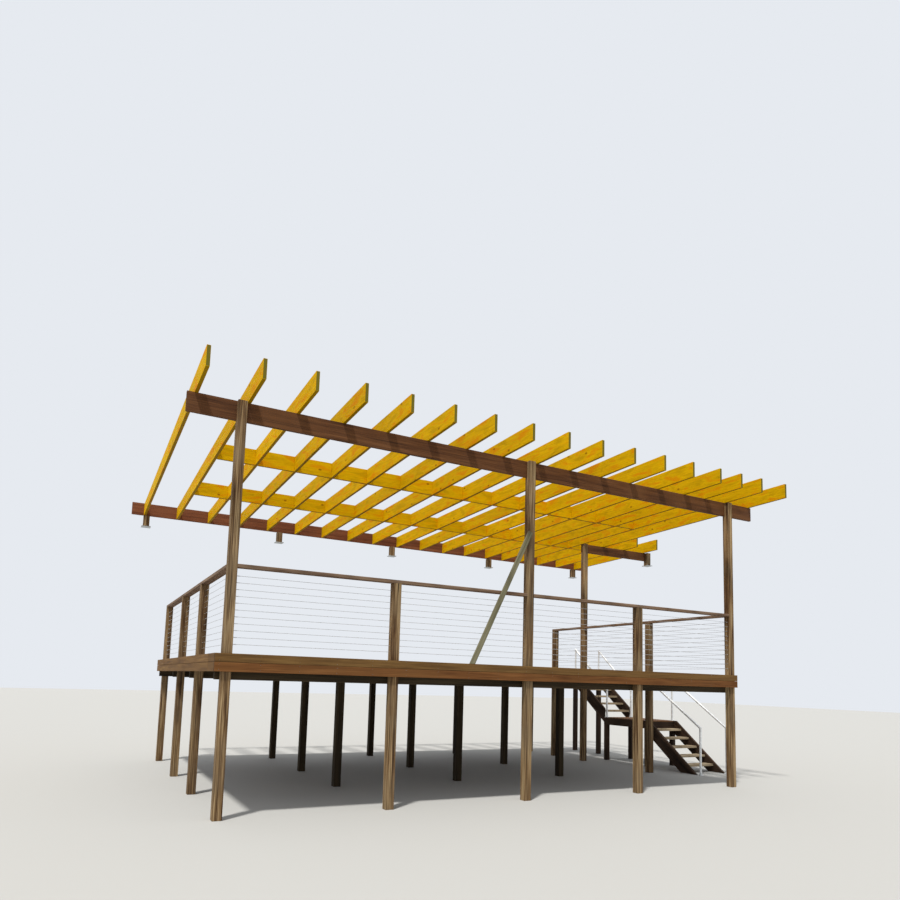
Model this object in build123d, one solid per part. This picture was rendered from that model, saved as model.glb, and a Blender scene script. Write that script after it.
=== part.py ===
from build123d import *
import math
import os

# A wooden pergola: yellow laminated rafters over a raised hardwood deck, with a side stair.
# Millimetres. X runs along the front, Y from the front to the rear, Z is up.
# The pieces are drawn with X = 0 at the deck's left edge, Y = 0 on the front faces of the
# front posts and Z = 0 on the ground, and are moved to the middle of their box at the end.

# Deck
DECK_LENGTH = 8617
DECK_DEPTH = 6000
DECK_TOP = 1872
DECKING = 22
JOIST_DEPTH = 140
JOIST_WIDTH = 45
JOIST_BAYS = 18
BEARER_DEPTH = 140
BEARER_WIDTH = 45
FASCIA = 32
FASCIA_UPPER = 100
FASCIA_LOWER = 107
FASCIA_SHADOW_GAP = 3
LEFT_FASCIA_JOINT = 400
LEFT_FASCIA_JOINT_GAP = 8

# Posts
POST = 110
POST_INSET_LEFT = 88
FRONT_BAYS = 4
SECOND_ROW = 1900
THIRD_ROW_BEFORE_NEWEL = 1190

# Beams and rafters
BEAM_TOP = 4888
BEAM_DEPTH = 240
BEAM_WIDTH = 45
FRONT_BEAM_LEFT = -484
FRONT_BEAM_PAST_RAFTER = 47
RAFTER_DEPTH = 240
RAFTER_WIDTH = 45
FIRST_RAFTER_X = -403
LAST_RAFTER_PAST_DECK = 444
TIGHT_PITCH = 490
RAFTERS_BEFORE_TIGHT = 14
TIGHT_BAYS = 2
RAFTER_COUNT = 17
RAFTERS_IN_NODE = 3
SHORT_RAFTER_COUNT = 2
RAFTER_OVERHANG = 693
ROOF_FALL_DEG = 1.5
SEAT_DEPTH = 6
REAR_BEAM_FRONT = 6511
REAR_BEAM_PAST_RAFTER = 218
BLOCKING_FRONT_ROW = 2300
BLOCKING_REAR_ROW = 4450
BLOCKING_WIDTH = 45
END_BAYS_WITHOUT_BLOCKING = 1

# Side beam past the deck's right-hand edge, and the short stubs with steel plates
SIDE_BEAM_DEPTH = 190
SIDE_STUB_PAST_RAFTER = 42
SIDE_STUB_HEIGHT = 300
SHORT_RAFTER_OVERHANG = 445
REAR_STUB_COUNT = 5
REAR_STUB_HEIGHT = 215
REAR_STUB_END_INSET = 220
REAR_STUB_SETBACK = 21
STUB_PLATE = 170
STUB_PLATE_THICK = 10

# Balustrade
RAIL_HEIGHT = 1046
RAIL_THICK = 42
RAIL_CHAMFER = 6
WIRE_DIAMETER = 5
WIRE_COUNT = 11
WIRE_PITCH = 80
TOP_WIRE_BELOW_RAIL = 96

# Temporary brace
BRACE_WIDTH = 70
BRACE_THICK = 35
BRACE_FOOT_BEFORE_POST = 905
BRACE_TOP_Z = 3815
BRACE_TOP_PAST_POST_EDGE = 20

# Stair
STAIR_FROM_DECK = 553
STAIR_WIDTH = 800
PLATFORM_DEPTH = 975
UPPER_RISER_COUNT = 6
LOWER_RISER_COUNT = 6
GOING = 205
LANDING_LENGTH = 1335
STRING_THICK = 45
STRING_DEPTH = 240
STRING_ABOVE_NOSING = 30
STRING_TOE = 70
TREAD_DEPTH = 230
TREAD_THICK = 40
FRAME_DEPTH = 140
FRAME_WIDTH = 45
STAIR_POST = 90
TUBE_RADIUS = 21
TUBE_FITTING_RADIUS = 27
TUBE_INSET = 45
UPPER_TUBE_HEIGHT = 600
LOWER_TUBE_HEIGHT = 880

# Levels and lines that follow from the driving sizes
joist_top = DECK_TOP - DECKING
joist_bottom = joist_top - JOIST_DEPTH
bearer_bottom = joist_bottom - BEARER_DEPTH
deck_right = DECK_LENGTH - FASCIA
right_post_x = deck_right - POST
post_bay = (right_post_x - POST_INSET_LEFT) / FRONT_BAYS
rail_post_left_x = POST_INSET_LEFT + post_bay
middle_post_x = POST_INSET_LEFT + 2 * post_bay
rail_post_right_x = POST_INSET_LEFT + 3 * post_bay
rear_post_y = DECK_DEPTH - POST
stair_head = DECK_DEPTH - PLATFORM_DEPTH
newel_y = stair_head - POST
third_row = newel_y - THIRD_ROW_BEFORE_NEWEL
side_post_y = third_row + POST + BEARER_WIDTH
rail_top = DECK_TOP + RAIL_HEIGHT
rail_bottom = rail_top - RAIL_THICK
beam_front = POST - BEAM_WIDTH
side_beam_front = side_post_y + POST - BEAM_WIDTH
rise = DECK_TOP / (UPPER_RISER_COUNT + LOWER_RISER_COUNT)
landing_top = LOWER_RISER_COUNT * rise
landing_back = stair_head - (UPPER_RISER_COUNT - 1) * GOING
landing_front = landing_back - LANDING_LENGTH
stair_left = DECK_LENGTH + STAIR_FROM_DECK
stair_right = stair_left + STAIR_WIDTH


def block(x0, x1, y0, y1, z0, z1):
    """A straight timber between two corners."""
    middle = Pos((x0 + x1) / 2, (y0 + y1) / 2, (z0 + z1) / 2)
    return middle * Box(x1 - x0, y1 - y0, z1 - z0)


def side_profile(points, x0, x1):
    """A timber whose outline is drawn in side view, as (Y, Z) points."""
    outline = Plane.YZ.offset(x0) * make_face(Polyline(*points, close=True))
    return extrude(outline, amount=x1 - x0)


def front_profile(points, y0, y1):
    """A timber whose outline is drawn in front view, as (X, Z) points."""
    outline = Plane.XZ.offset(-y0) * make_face(Polyline(*points, close=True))
    return extrude(outline, amount=-(y1 - y0))


def tube(start, end, radius):
    """A straight round bar between two points."""
    run = Vector(*end) - Vector(*start)
    section = Plane(origin=start, z_dir=run) * Circle(radius)
    return extrude(section, amount=run.length)


def boxes_meet(a, b):
    """True where the bounding boxes of two solids share some space."""
    p = a.bounding_box()
    q = b.bounding_box()
    return (p.min.X < q.max.X and q.min.X < p.max.X
            and p.min.Y < q.max.Y and q.min.Y < p.max.Y
            and p.min.Z < q.max.Z and q.min.Z < p.max.Z)


def checked_out(timber, neighbours):
    """The timber with a housing cut for each neighbour that it would run into."""
    for neighbour in neighbours:
        if boxes_meet(timber, neighbour):
            timber = timber - neighbour
    return timber


def underside(y):
    """Height of the rafters' lower edge, which falls towards the rear."""
    return BEAM_TOP - SEAT_DEPTH - (y - beam_front) * math.tan(math.radians(ROOF_FALL_DEG))


# Rafter places along the front, with two tighter bays near the right-hand end
last_long_x = DECK_LENGTH + LAST_RAFTER_PAST_DECK
even_bays = RAFTER_COUNT - 1 - TIGHT_BAYS
rafter_pitch = (last_long_x - FIRST_RAFTER_X - TIGHT_BAYS * TIGHT_PITCH) / even_bays
rafter_x = [FIRST_RAFTER_X]
for bay in range(RAFTER_COUNT + SHORT_RAFTER_COUNT - 1):
    in_tight_bays = RAFTERS_BEFORE_TIGHT - 1 <= bay < RAFTERS_BEFORE_TIGHT - 1 + TIGHT_BAYS
    rafter_x.append(rafter_x[-1] + (TIGHT_PITCH if in_tight_bays else rafter_pitch))
last_short_x = rafter_x[-1]
rear_beam_left = FIRST_RAFTER_X - REAR_BEAM_PAST_RAFTER
rear_beam_right = last_short_x + RAFTER_WIDTH + REAR_BEAM_PAST_RAFTER

# Front beam, on edge in a housing behind the three tall posts
front_beam_right = last_long_x + RAFTER_WIDTH + FRONT_BEAM_PAST_RAFTER
front_beam = block(FRONT_BEAM_LEFT, front_beam_right, beam_front, POST, BEAM_TOP - BEAM_DEPTH, BEAM_TOP)

# Side beam, housed the same way in the side post and in the stub at its far end
side_beam_top = underside(side_beam_front) + SEAT_DEPTH
side_stub_x = last_short_x + RAFTER_WIDTH + SIDE_STUB_PAST_RAFTER
side_stub_right = side_stub_x + POST
side_beam = block(right_post_x, side_stub_right, side_beam_front, side_beam_front + BEAM_WIDTH,
                  side_beam_top - SIDE_BEAM_DEPTH, side_beam_top)

# Posts that carry the roof
tall_posts = []
for x in (POST_INSET_LEFT, middle_post_x, right_post_x):
    tall_posts.append(block(x, x + POST, 0, POST, 0, BEAM_TOP) - front_beam)
side_post = block(right_post_x, right_post_x + POST, side_post_y, side_post_y + POST, 0, side_beam_top)
side_post = side_post - side_beam
side_stub = block(side_stub_x, side_stub_right, side_post_y, side_post_y + POST,
                  side_beam_top - SIDE_STUB_HEIGHT, side_beam_top) - side_beam

# Posts that stop under a handrail
rail_posts = []
for x in (rail_post_left_x, rail_post_right_x):
    rail_posts.append(block(x, x + POST, 0, POST, 0, rail_bottom))
left_posts = []
for y in (SECOND_ROW, third_row, rear_post_y):
    left_posts.append(block(POST_INSET_LEFT, POST_INSET_LEFT + POST, y, y + POST, 0, rail_bottom))
right_posts = []
for y, top in ((SECOND_ROW, rail_bottom), (newel_y, rail_bottom), (rear_post_y, joist_top)):
    right_posts.append(block(right_post_x, right_post_x + POST, y, y + POST, 0, top))
posts_through_deck = tall_posts + [side_post] + rail_posts + left_posts + right_posts

# Long rafters: level seats on the beams and posts, plumb cuts at both ends
long_rafters = []
for x in rafter_x[:RAFTER_COUNT]:
    tip = -RAFTER_OVERHANG
    rafter = side_profile([(tip, underside(tip)),
                           (REAR_BEAM_FRONT, underside(REAR_BEAM_FRONT)),
                           (REAR_BEAM_FRONT, underside(REAR_BEAM_FRONT) + RAFTER_DEPTH),
                           (tip, underside(tip) + RAFTER_DEPTH)], x, x + RAFTER_WIDTH)
    long_rafters.append(checked_out(rafter, [front_beam, side_beam, side_post] + tall_posts))

# Short rafters from the side beam back to the rear beam
short_rafters = []
for x in rafter_x[RAFTER_COUNT:]:
    tip = side_beam_front - SHORT_RAFTER_OVERHANG
    rafter = side_profile([(tip, underside(tip)),
                           (REAR_BEAM_FRONT, underside(REAR_BEAM_FRONT)),
                           (REAR_BEAM_FRONT, underside(REAR_BEAM_FRONT) + RAFTER_DEPTH),
                           (tip, underside(tip) + RAFTER_DEPTH)], x, x + RAFTER_WIDTH)
    short_rafters.append(checked_out(rafter, [side_beam, side_stub]))

# Rear beam, flush with the rafters that butt against it
rear_beam_bottom = underside(REAR_BEAM_FRONT)
rear_beam_back = REAR_BEAM_FRONT + BEAM_WIDTH
rear_beam = block(rear_beam_left, rear_beam_right, REAR_BEAM_FRONT, rear_beam_back,
                  rear_beam_bottom, rear_beam_bottom + RAFTER_DEPTH)

# Stubs under the rear beam, and the steel plates under all stubs
rear_stub_front = REAR_BEAM_FRONT - REAR_STUB_SETBACK
rear_stub_foot = rear_beam_bottom - REAR_STUB_HEIGHT
first_stub_x = rear_beam_left + REAR_STUB_END_INSET
last_stub_x = rear_beam_right - REAR_STUB_END_INSET - POST
rear_stubs = []
stub_plates = []
plate_lip = (STUB_PLATE - POST) / 2
for n in range(REAR_STUB_COUNT):
    x = first_stub_x + n * (last_stub_x - first_stub_x) / (REAR_STUB_COUNT - 1)
    rear_stubs.append(block(x, x + POST, rear_stub_front, rear_stub_front + POST,
                            rear_stub_foot, rear_beam_bottom))
    stub_plates.append(block(x - plate_lip, x + POST + plate_lip,
                             rear_stub_front - plate_lip, rear_stub_front + POST + plate_lip,
                             rear_stub_foot - STUB_PLATE_THICK, rear_stub_foot))
side_stub_foot = side_beam_top - SIDE_STUB_HEIGHT
stub_plates.append(block(side_stub_x - plate_lip, side_stub_right + plate_lip,
                         side_post_y - plate_lip, side_post_y + POST + plate_lip,
                         side_stub_foot - STUB_PLATE_THICK, side_stub_foot))


def blocking_row(y, rafters):
    """Short lengths cut tight between neighbouring rafters, with the end bays left open."""
    row = []
    bottom = underside(y + BLOCKING_WIDTH / 2)
    blocked = rafters[END_BAYS_WITHOUT_BLOCKING:len(rafters) - END_BAYS_WITHOUT_BLOCKING]
    for left, right in zip(blocked, blocked[1:]):
        row.append(block(left + RAFTER_WIDTH, right, y, y + BLOCKING_WIDTH, bottom, bottom + RAFTER_DEPTH))
    return row


# Bearers along the rows of posts, and the stumps under their middles
bearer_y = [POST, SECOND_ROW + POST, third_row + POST, rear_post_y - BEARER_WIDTH]
bearers = []
inner_stumps = []
for y in bearer_y:
    bearers.append(block(FASCIA, deck_right, y, y + BEARER_WIDTH, bearer_bottom, joist_bottom))
for y in bearer_y[1:]:
    stump_y = y + BEARER_WIDTH / 2 - POST / 2
    for x in (rail_post_left_x, middle_post_x, rail_post_right_x):
        inner_stumps.append(block(x, x + POST, stump_y, stump_y + POST, 0, bearer_bottom))

# Joists from the front fascia to the back, cut round the posts
joists = []
last_joist_x = right_post_x - JOIST_WIDTH
for n in range(JOIST_BAYS + 1):
    x = FASCIA + n * (last_joist_x - FASCIA) / JOIST_BAYS
    joist = block(x, x + JOIST_WIDTH, 0, DECK_DEPTH, joist_bottom, joist_top)
    joists.append(checked_out(joist, posts_through_deck))

# Decking, cut round the posts
decking = checked_out(block(FASCIA, deck_right, 0, DECK_DEPTH, joist_top, DECK_TOP), posts_through_deck)

# Fascia boards in two heights
upper_low = DECK_TOP - FASCIA_UPPER
lower_high = upper_low - FASCIA_SHADOW_GAP
lower_low = lower_high - FASCIA_LOWER
fascia_front_upper = block(0, DECK_LENGTH, -FASCIA, 0, upper_low, DECK_TOP)
fascia_front_lower = block(0, DECK_LENGTH, -FASCIA, 0, lower_low, lower_high)
fascia_left = []
fascia_right = []
for low, high in ((upper_low, DECK_TOP), (lower_low, lower_high)):
    fascia_left.append(block(0, FASCIA, 0, LEFT_FASCIA_JOINT, low, high))
    fascia_left.append(block(0, FASCIA, LEFT_FASCIA_JOINT + LEFT_FASCIA_JOINT_GAP, DECK_DEPTH, low, high))
    fascia_right.append(block(deck_right, DECK_LENGTH, 0, stair_head, low, high))


def rail_outline(low):
    """Handrail section: flat timber with both top edges taken off, low edge at the given place."""
    return [(low, rail_bottom),
            (low + POST, rail_bottom),
            (low + POST, rail_top - RAIL_CHAMFER),
            (low + POST - RAIL_CHAMFER, rail_top),
            (low + RAIL_CHAMFER, rail_top),
            (low, rail_top - RAIL_CHAMFER)]


# Handrails between the tall posts and over the short ones
post_left_right = POST_INSET_LEFT + POST
middle_post_right = middle_post_x + POST
side_post_back = side_post_y + POST
handrail_front = [side_profile(rail_outline(0), post_left_right, middle_post_x),
                  side_profile(rail_outline(0), middle_post_right, right_post_x)]
handrail_left = [front_profile(rail_outline(POST_INSET_LEFT), POST, DECK_DEPTH)]
handrail_right = [front_profile(rail_outline(right_post_x), POST, side_post_y),
                  front_profile(rail_outline(right_post_x), side_post_back, stair_head)]


def wire_bays(stations, along, line):
    """Horizontal wires in each bay; a station is the first face of a post on the line."""
    wires = []
    for left, right in zip(stations, stations[1:]):
        for n in range(WIRE_COUNT):
            height = rail_bottom - TOP_WIRE_BELOW_RAIL - n * WIRE_PITCH
            start = along * (left + POST) + line + Vector(0, 0, height)
            section = Plane(origin=start, z_dir=along) * RegularPolygon(WIRE_DIAMETER / 2, 6)
            wires.append(extrude(section, amount=right - left - POST))
    return wires


front_stations = [POST_INSET_LEFT, rail_post_left_x, middle_post_x, rail_post_right_x, right_post_x]
wires_front = wire_bays(front_stations, Vector(1, 0, 0), Vector(0, POST / 2, 0))
wires_left = wire_bays([0, SECOND_ROW, third_row, rear_post_y],
                       Vector(0, 1, 0), Vector(POST_INSET_LEFT + POST / 2, 0, 0))
wires_right = wire_bays([0, SECOND_ROW, side_post_y, newel_y],
                        Vector(0, 1, 0), Vector(right_post_x + POST / 2, 0, 0))

# Temporary brace from the middle post's face down to the edge of the deck
brace_top_x = middle_post_x + BRACE_TOP_PAST_POST_EDGE
brace_foot_x = middle_post_x - BRACE_FOOT_BEFORE_POST
brace_lean = math.atan2(brace_top_x - brace_foot_x, BRACE_TOP_Z - DECK_TOP)
brace_half = BRACE_WIDTH / 2 / math.cos(brace_lean)
brace_end_x = BRACE_WIDTH / 2 * math.cos(brace_lean)
brace_end_z = BRACE_WIDTH / 2 * math.sin(brace_lean)
brace = front_profile([(brace_foot_x - brace_half, DECK_TOP),
                       (brace_foot_x + brace_half, DECK_TOP),
                       (brace_top_x + brace_end_x, BRACE_TOP_Z - brace_end_z),
                       (brace_top_x - brace_end_x, BRACE_TOP_Z + brace_end_z)], -BRACE_THICK, 0)

# Stair platform at deck level and landing half-way down: frames, decks and posts
outer_x = stair_right - FRAME_WIDTH
platform_back = DECK_DEPTH
platform_bottom = joist_top - FRAME_DEPTH
platform_middle = (stair_head + platform_back - FRAME_WIDTH) / 2
landing_joist_top = landing_top - DECKING
landing_joist_bottom = landing_joist_top - FRAME_DEPTH
stair_frames = []
for y in (stair_head, platform_middle, platform_back - FRAME_WIDTH):
    start_x = right_post_x if y < rear_post_y - FRAME_WIDTH else deck_right
    stair_frames.append(block(start_x, outer_x, y, y + FRAME_WIDTH, platform_bottom, joist_top))
stair_frames.append(block(outer_x, stair_right, stair_head, platform_back, platform_bottom, joist_top))
for x in (stair_left, outer_x):
    stair_frames.append(block(x, x + FRAME_WIDTH, landing_front, landing_back,
                              landing_joist_bottom, landing_joist_top))
for y in (landing_front, (landing_front + landing_back - FRAME_WIDTH) / 2, landing_back - FRAME_WIDTH):
    stair_frames.append(block(stair_left + FRAME_WIDTH, outer_x, y, y + FRAME_WIDTH,
                              landing_joist_bottom, landing_joist_top))
stair_decks = [block(deck_right, stair_right, stair_head, platform_back, joist_top, DECK_TOP),
               block(stair_left, stair_right, landing_front, landing_back, landing_joist_top, landing_top)]
stair_posts = []
for y in (stair_head, platform_back - STAIR_POST):
    stair_posts.append(block(stair_right - STAIR_POST, stair_right, y, y + STAIR_POST, 0, platform_bottom))
for x in (stair_left, stair_right - STAIR_POST):
    for y in (landing_front, landing_back - STAIR_POST):
        stair_posts.append(block(x, x + STAIR_POST, y, y + STAIR_POST, 0, landing_joist_bottom))


def flight(head_y, head_z, risers, low_z, toe):
    """Two strings and the open treads of one flight that falls towards the front."""
    slope = rise / GOING
    foot_y = head_y - (risers - 1) * GOING - toe
    lift = STRING_ABOVE_NOSING * math.hypot(1, slope)
    drop = STRING_DEPTH * math.hypot(1, slope)
    upper_back = head_z + lift
    upper_front = head_z + lift - (head_y - foot_y) * slope
    outline = [(foot_y, upper_front - drop), (head_y, upper_back - drop),
               (head_y, upper_back), (foot_y, upper_front)]
    keep = block(stair_left, stair_right, foot_y, head_y, low_z, head_z)
    strings = []
    for x in (stair_left, stair_right - STRING_THICK):
        strings.append(side_profile(outline, x, x + STRING_THICK) & keep)
    treads = []
    for n in range(1, risers):
        nose = head_y - n * GOING
        top = head_z - n * rise
        treads.append(block(stair_left + STRING_THICK, stair_right - STRING_THICK,
                            nose, min(nose + TREAD_DEPTH, head_y), top - TREAD_THICK, top))
    return strings, treads


upper_strings, upper_treads = flight(stair_head, DECK_TOP, UPPER_RISER_COUNT, landing_joist_bottom, 0)
lower_strings, lower_treads = flight(landing_front, landing_top, LOWER_RISER_COUNT, 0, GOING + STRING_TOE)

# Tube handrails: one tube a side, between stanchions with ball fittings; it is lower on the upper flight
lower_foot_y = landing_front - LOWER_RISER_COUNT * GOING - STRING_TOE - TUBE_INSET
stations = [(stair_head + TUBE_INSET, DECK_TOP, [UPPER_TUBE_HEIGHT]),
            (landing_back - TUBE_INSET, landing_top, [UPPER_TUBE_HEIGHT, LOWER_TUBE_HEIGHT]),
            (landing_front + TUBE_INSET, landing_top, [LOWER_TUBE_HEIGHT]),
            (lower_foot_y, 0, [LOWER_TUBE_HEIGHT])]
run_heights = [UPPER_TUBE_HEIGHT, LOWER_TUBE_HEIGHT, LOWER_TUBE_HEIGHT]
stair_stanchions = []
stair_tubes = []
for x in (stair_left + TUBE_INSET, stair_right - TUBE_INSET):
    side = []
    for y, z, heights in stations:
        stanchion = tube((x, y, z), (x, y, z + max(heights)), TUBE_RADIUS)
        for height in heights:
            stanchion = stanchion + Pos(x, y, z + height) * Sphere(TUBE_FITTING_RADIUS)
        side.append(stanchion)
    for n, height in enumerate(run_heights):
        start_y, start_z, _ = stations[n]
        end_y, end_z, _ = stations[n + 1]
        run = tube((x, start_y, start_z + height), (x, end_y, end_z + height), TUBE_RADIUS)
        stair_tubes.append(run - side[n] - side[n + 1])
    stair_stanchions += side

# Every node and the solids in it
nodes = {
    "front_beam": [front_beam],
    "rear_beam": [rear_beam],
    "side_beam": [side_beam],
    "short_rafters": short_rafters,
    "blocking_front_row": blocking_row(BLOCKING_FRONT_ROW, rafter_x[:RAFTER_COUNT]),
    "blocking_rear_row": blocking_row(BLOCKING_REAR_ROW, rafter_x),
    "front_post_left": [tall_posts[0]],
    "front_post_middle": [tall_posts[1]],
    "front_post_right": [tall_posts[2]],
    "side_post": [side_post],
    "rail_post_left": [rail_posts[0]],
    "rail_post_right": [rail_posts[1]],
    "left_posts": left_posts,
    "right_posts": right_posts,
    "inner_stumps": inner_stumps,
    "side_stub": [side_stub],
    "rear_stubs": rear_stubs,
    "stub_plates": stub_plates,
    "bearers": bearers,
    "joists": joists,
    "decking": [decking],
    "fascia_front_upper": [fascia_front_upper],
    "fascia_front_lower": [fascia_front_lower],
    "fascia_left": fascia_left,
    "fascia_right": fascia_right,
    "handrail_front": handrail_front,
    "handrail_left": handrail_left,
    "handrail_right": handrail_right,
    "wires_front": wires_front,
    "wires_left": wires_left,
    "wires_right": wires_right,
    "brace": [brace],
    "stair_frames": stair_frames,
    "stair_decks": stair_decks,
    "stair_posts": stair_posts,
    "stair_strings": upper_strings + lower_strings,
    "stair_treads": upper_treads + lower_treads,
    "stair_stanchions": stair_stanchions,
    "stair_tubes": stair_tubes,
}
for first in range(1, RAFTER_COUNT + 1, RAFTERS_IN_NODE):
    last = min(first + RAFTERS_IN_NODE - 1, RAFTER_COUNT)
    nodes[f"rafters_{first:02d}_to_{last:02d}"] = long_rafters[first - 1:last]

# The origin is the middle of the whole part's box in plan, on the ground
box_front = -RAFTER_OVERHANG
box_back = rear_stub_front + POST + plate_lip
to_origin = Pos(-(rear_beam_left + rear_beam_right) / 2, -(box_front + box_back) / 2, 0)

os.makedirs("parts", exist_ok=True)
for name, solids in nodes.items():
    pieces = []
    for solid in solids:
        pieces += list(solid.solids())
    moved = to_origin * Compound(pieces)
    moved.label = name
    export_step(moved, f"parts/{name}.step")
print(len(nodes), "nodes, moved to the origin by", [round(v, 3) for v in tuple(to_origin.position)])
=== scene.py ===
import bmesh
import bpy
import math
import random
from mathutils import Matrix, Vector


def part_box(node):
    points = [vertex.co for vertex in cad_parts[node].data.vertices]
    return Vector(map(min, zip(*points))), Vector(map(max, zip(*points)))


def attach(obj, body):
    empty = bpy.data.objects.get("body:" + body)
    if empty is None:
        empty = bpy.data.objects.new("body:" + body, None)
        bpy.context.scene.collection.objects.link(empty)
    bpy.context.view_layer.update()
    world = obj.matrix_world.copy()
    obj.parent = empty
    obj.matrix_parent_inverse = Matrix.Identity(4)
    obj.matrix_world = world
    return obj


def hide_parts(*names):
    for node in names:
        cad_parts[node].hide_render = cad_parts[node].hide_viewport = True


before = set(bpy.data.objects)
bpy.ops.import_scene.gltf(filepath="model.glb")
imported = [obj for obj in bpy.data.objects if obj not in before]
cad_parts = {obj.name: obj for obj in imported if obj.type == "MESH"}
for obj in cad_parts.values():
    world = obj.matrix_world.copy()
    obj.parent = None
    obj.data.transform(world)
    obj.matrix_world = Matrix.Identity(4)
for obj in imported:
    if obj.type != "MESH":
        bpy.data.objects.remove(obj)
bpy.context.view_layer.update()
scene = bpy.context.scene
scene.view_settings.view_transform = "Standard"

# The view: a wide lens near the ground, off the front left corner, held a little out of level.
# Its centre is below the picture's centre, because the picture is the upper part of a taller one.
EYE = Vector((-6.3575, -11.1715, 1.622))
HEADING = math.radians(27.98)
PITCH = math.radians(6.27)
ROLL = math.radians(1.67)
PICTURE = 900
FOCAL_PX = 694.55
CENTRE_PX = (446.134, 605.243)

camera_data = bpy.data.cameras.new("camera")
camera_data.sensor_width = 36
camera_data.lens = camera_data.sensor_width * FOCAL_PX / PICTURE
camera_data.shift_x = (PICTURE / 2 - CENTRE_PX[0]) / PICTURE
camera_data.shift_y = (CENTRE_PX[1] - PICTURE / 2) / PICTURE
camera_data.clip_end = 400
camera = bpy.data.objects.new("camera", camera_data)
scene.collection.objects.link(camera)
aim = Matrix.Rotation(-HEADING, 4, "Z") @ Matrix.Rotation(math.pi / 2 + PITCH, 4, "X")
aim = aim @ Matrix.Rotation(ROLL, 4, "Z")
camera.matrix_world = Matrix.Translation(EYE) @ aim
scene.camera = camera

# The studio: a pale floor, one broad high lamp from the front left and an even pale surround.
# Nothing here belongs to the pergola.
FLOOR_HALF = 60
LAMP_FROM = Vector((-0.36, -0.30, 1.0))
LAMP_STRENGTH = 3.3
SURROUND_STRENGTH = 0.66


def linear(code):
    """A colour written as sRGB hex, as the linear values that a shader takes."""
    parts = [int(code[n:n + 2], 16) / 255 for n in (1, 3, 5)]
    return [p / 12.92 if p <= 0.04045 else ((p + 0.055) / 1.055) ** 2.4 for p in parts] + [1]


def add_node(tree, kind, inputs=None, **settings):
    """Adds a node with its settings; an input is either a value or the socket that feeds it.

    Inputs go by name or by number. In a Mix 0 is the share, and 6 and 7 are the colours, or 2 and 3 the
    plain numbers. In a Map Range 1 and 2 are the range read, and 3 and 4 the range given.
    """
    made = tree.nodes.new(kind)
    for name, value in settings.items():
        setattr(made, name, value)
    for key, value in (inputs or {}).items():
        if isinstance(value, bpy.types.NodeSocket):
            tree.links.new(value, made.inputs[key])
        else:
            made.inputs[key].default_value = value
    return made


def new_finish(name):
    """An empty material and its node tree."""
    finish = bpy.data.materials.new(name)
    finish.use_nodes = True
    finish.node_tree.nodes.clear()
    return finish, finish.node_tree


floor_finish, tree = new_finish("pale studio floor")
grit = add_node(tree, "ShaderNodeTexNoise", {"Scale": 0.35, "Detail": 3})
shade = add_node(tree, "ShaderNodeMix", {0: grit.outputs["Fac"], 6: linear("#B4B4B0"), 7: linear("#BEBDB9")},
                 data_type="RGBA")
skin = add_node(tree, "ShaderNodeBsdfPrincipled", {"Base Color": shade.outputs[2], "Roughness": 0.9})
add_node(tree, "ShaderNodeOutputMaterial", {"Surface": skin.outputs[0]})

floor_mesh = bpy.data.meshes.new("studio_floor")
h = FLOOR_HALF
floor_mesh.from_pydata([(-h, -h, 0), (h, -h, 0), (h, h, 0), (-h, h, 0)], [], [(0, 1, 2, 3)])
floor_mesh.materials.append(floor_finish)
floor = bpy.data.objects.new("studio_floor", floor_mesh)
scene.collection.objects.link(floor)

lamp_data = bpy.data.lights.new("high_lamp", "SUN")
lamp_data.energy = LAMP_STRENGTH
lamp_data.angle = math.radians(4)
lamp_data.color = (1.0, 0.975, 0.94)
lamp = bpy.data.objects.new("high_lamp", lamp_data)
lamp.rotation_euler = LAMP_FROM.to_track_quat("Z", "Y").to_euler()
scene.collection.objects.link(lamp)

world = bpy.data.worlds.new("surround")
world.use_nodes = True
world.node_tree.nodes.clear()
scene.world = world
tree = world.node_tree
path = add_node(tree, "ShaderNodeLightPath")
seen = add_node(tree, "ShaderNodeMath", {0: path.outputs["Is Camera Ray"], 1: path.outputs["Is Glossy Ray"]},
                operation="MAXIMUM")
seen = add_node(tree, "ShaderNodeMath", {0: seen.outputs[0], 1: path.outputs["Is Transmission Ray"]},
                operation="MAXIMUM")
glow = add_node(tree, "ShaderNodeBackground", {"Color": linear("#F4F6FA"), "Strength": SURROUND_STRENGTH})
shown = add_node(tree, "ShaderNodeBackground", {"Color": linear("#E6EAF0"), "Strength": 1})
both = add_node(tree, "ShaderNodeMixShader", {0: seen.outputs[0], 1: glow.outputs[0], 2: shown.outputs[0]})
add_node(tree, "ShaderNodeOutputWorld", {"Surface": both.outputs[0]})

# Posts: 110 mm sawn hardwood, set in the ground and carried up past the deck to a beam or a handrail.
# Their faces are weathered tan with pale and dark streaks and long drying checks down the grain.
POST_NODES = ["front_post_left", "front_post_middle", "front_post_right", "side_post",
              "rail_post_left", "rail_post_right", "left_posts", "right_posts"]
SAWN_ARRIS = 0.003
MERGE_WITHIN = 1e-5
FLAT_BELOW = math.radians(1)
SHARP_ABOVE = math.radians(20)

# The real grain is 1 to 2 mm wide, too fine to show from the camera, so each timber's grain_mm draws it
# 6 to 11 mm wide. Three patterns make it up, each so many grains wide, so many times longer than wide,
# and with so much fine detail.
STREAKS = (1, 60, 5)
BANDS = (20 / 3, 22, 2)
CHECKS = (1 / 1.3, 160, 0)
BAND_SHARE = 0.45
GRAIN_RELIEF = 0.002
WEATHER_PATCH_M = 0.625
# How far apart in the log two sticks may be cut, so that no two show the same grain
LOG_SHIFT = (31, 47, 59)
# The tone of the darkest stick and of the palest
STICK_TONES = (0.86, 1.1)
# How squarely a face looks along the timber before it counts as a sawn end
SQUARE_ON = 0.75


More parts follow.
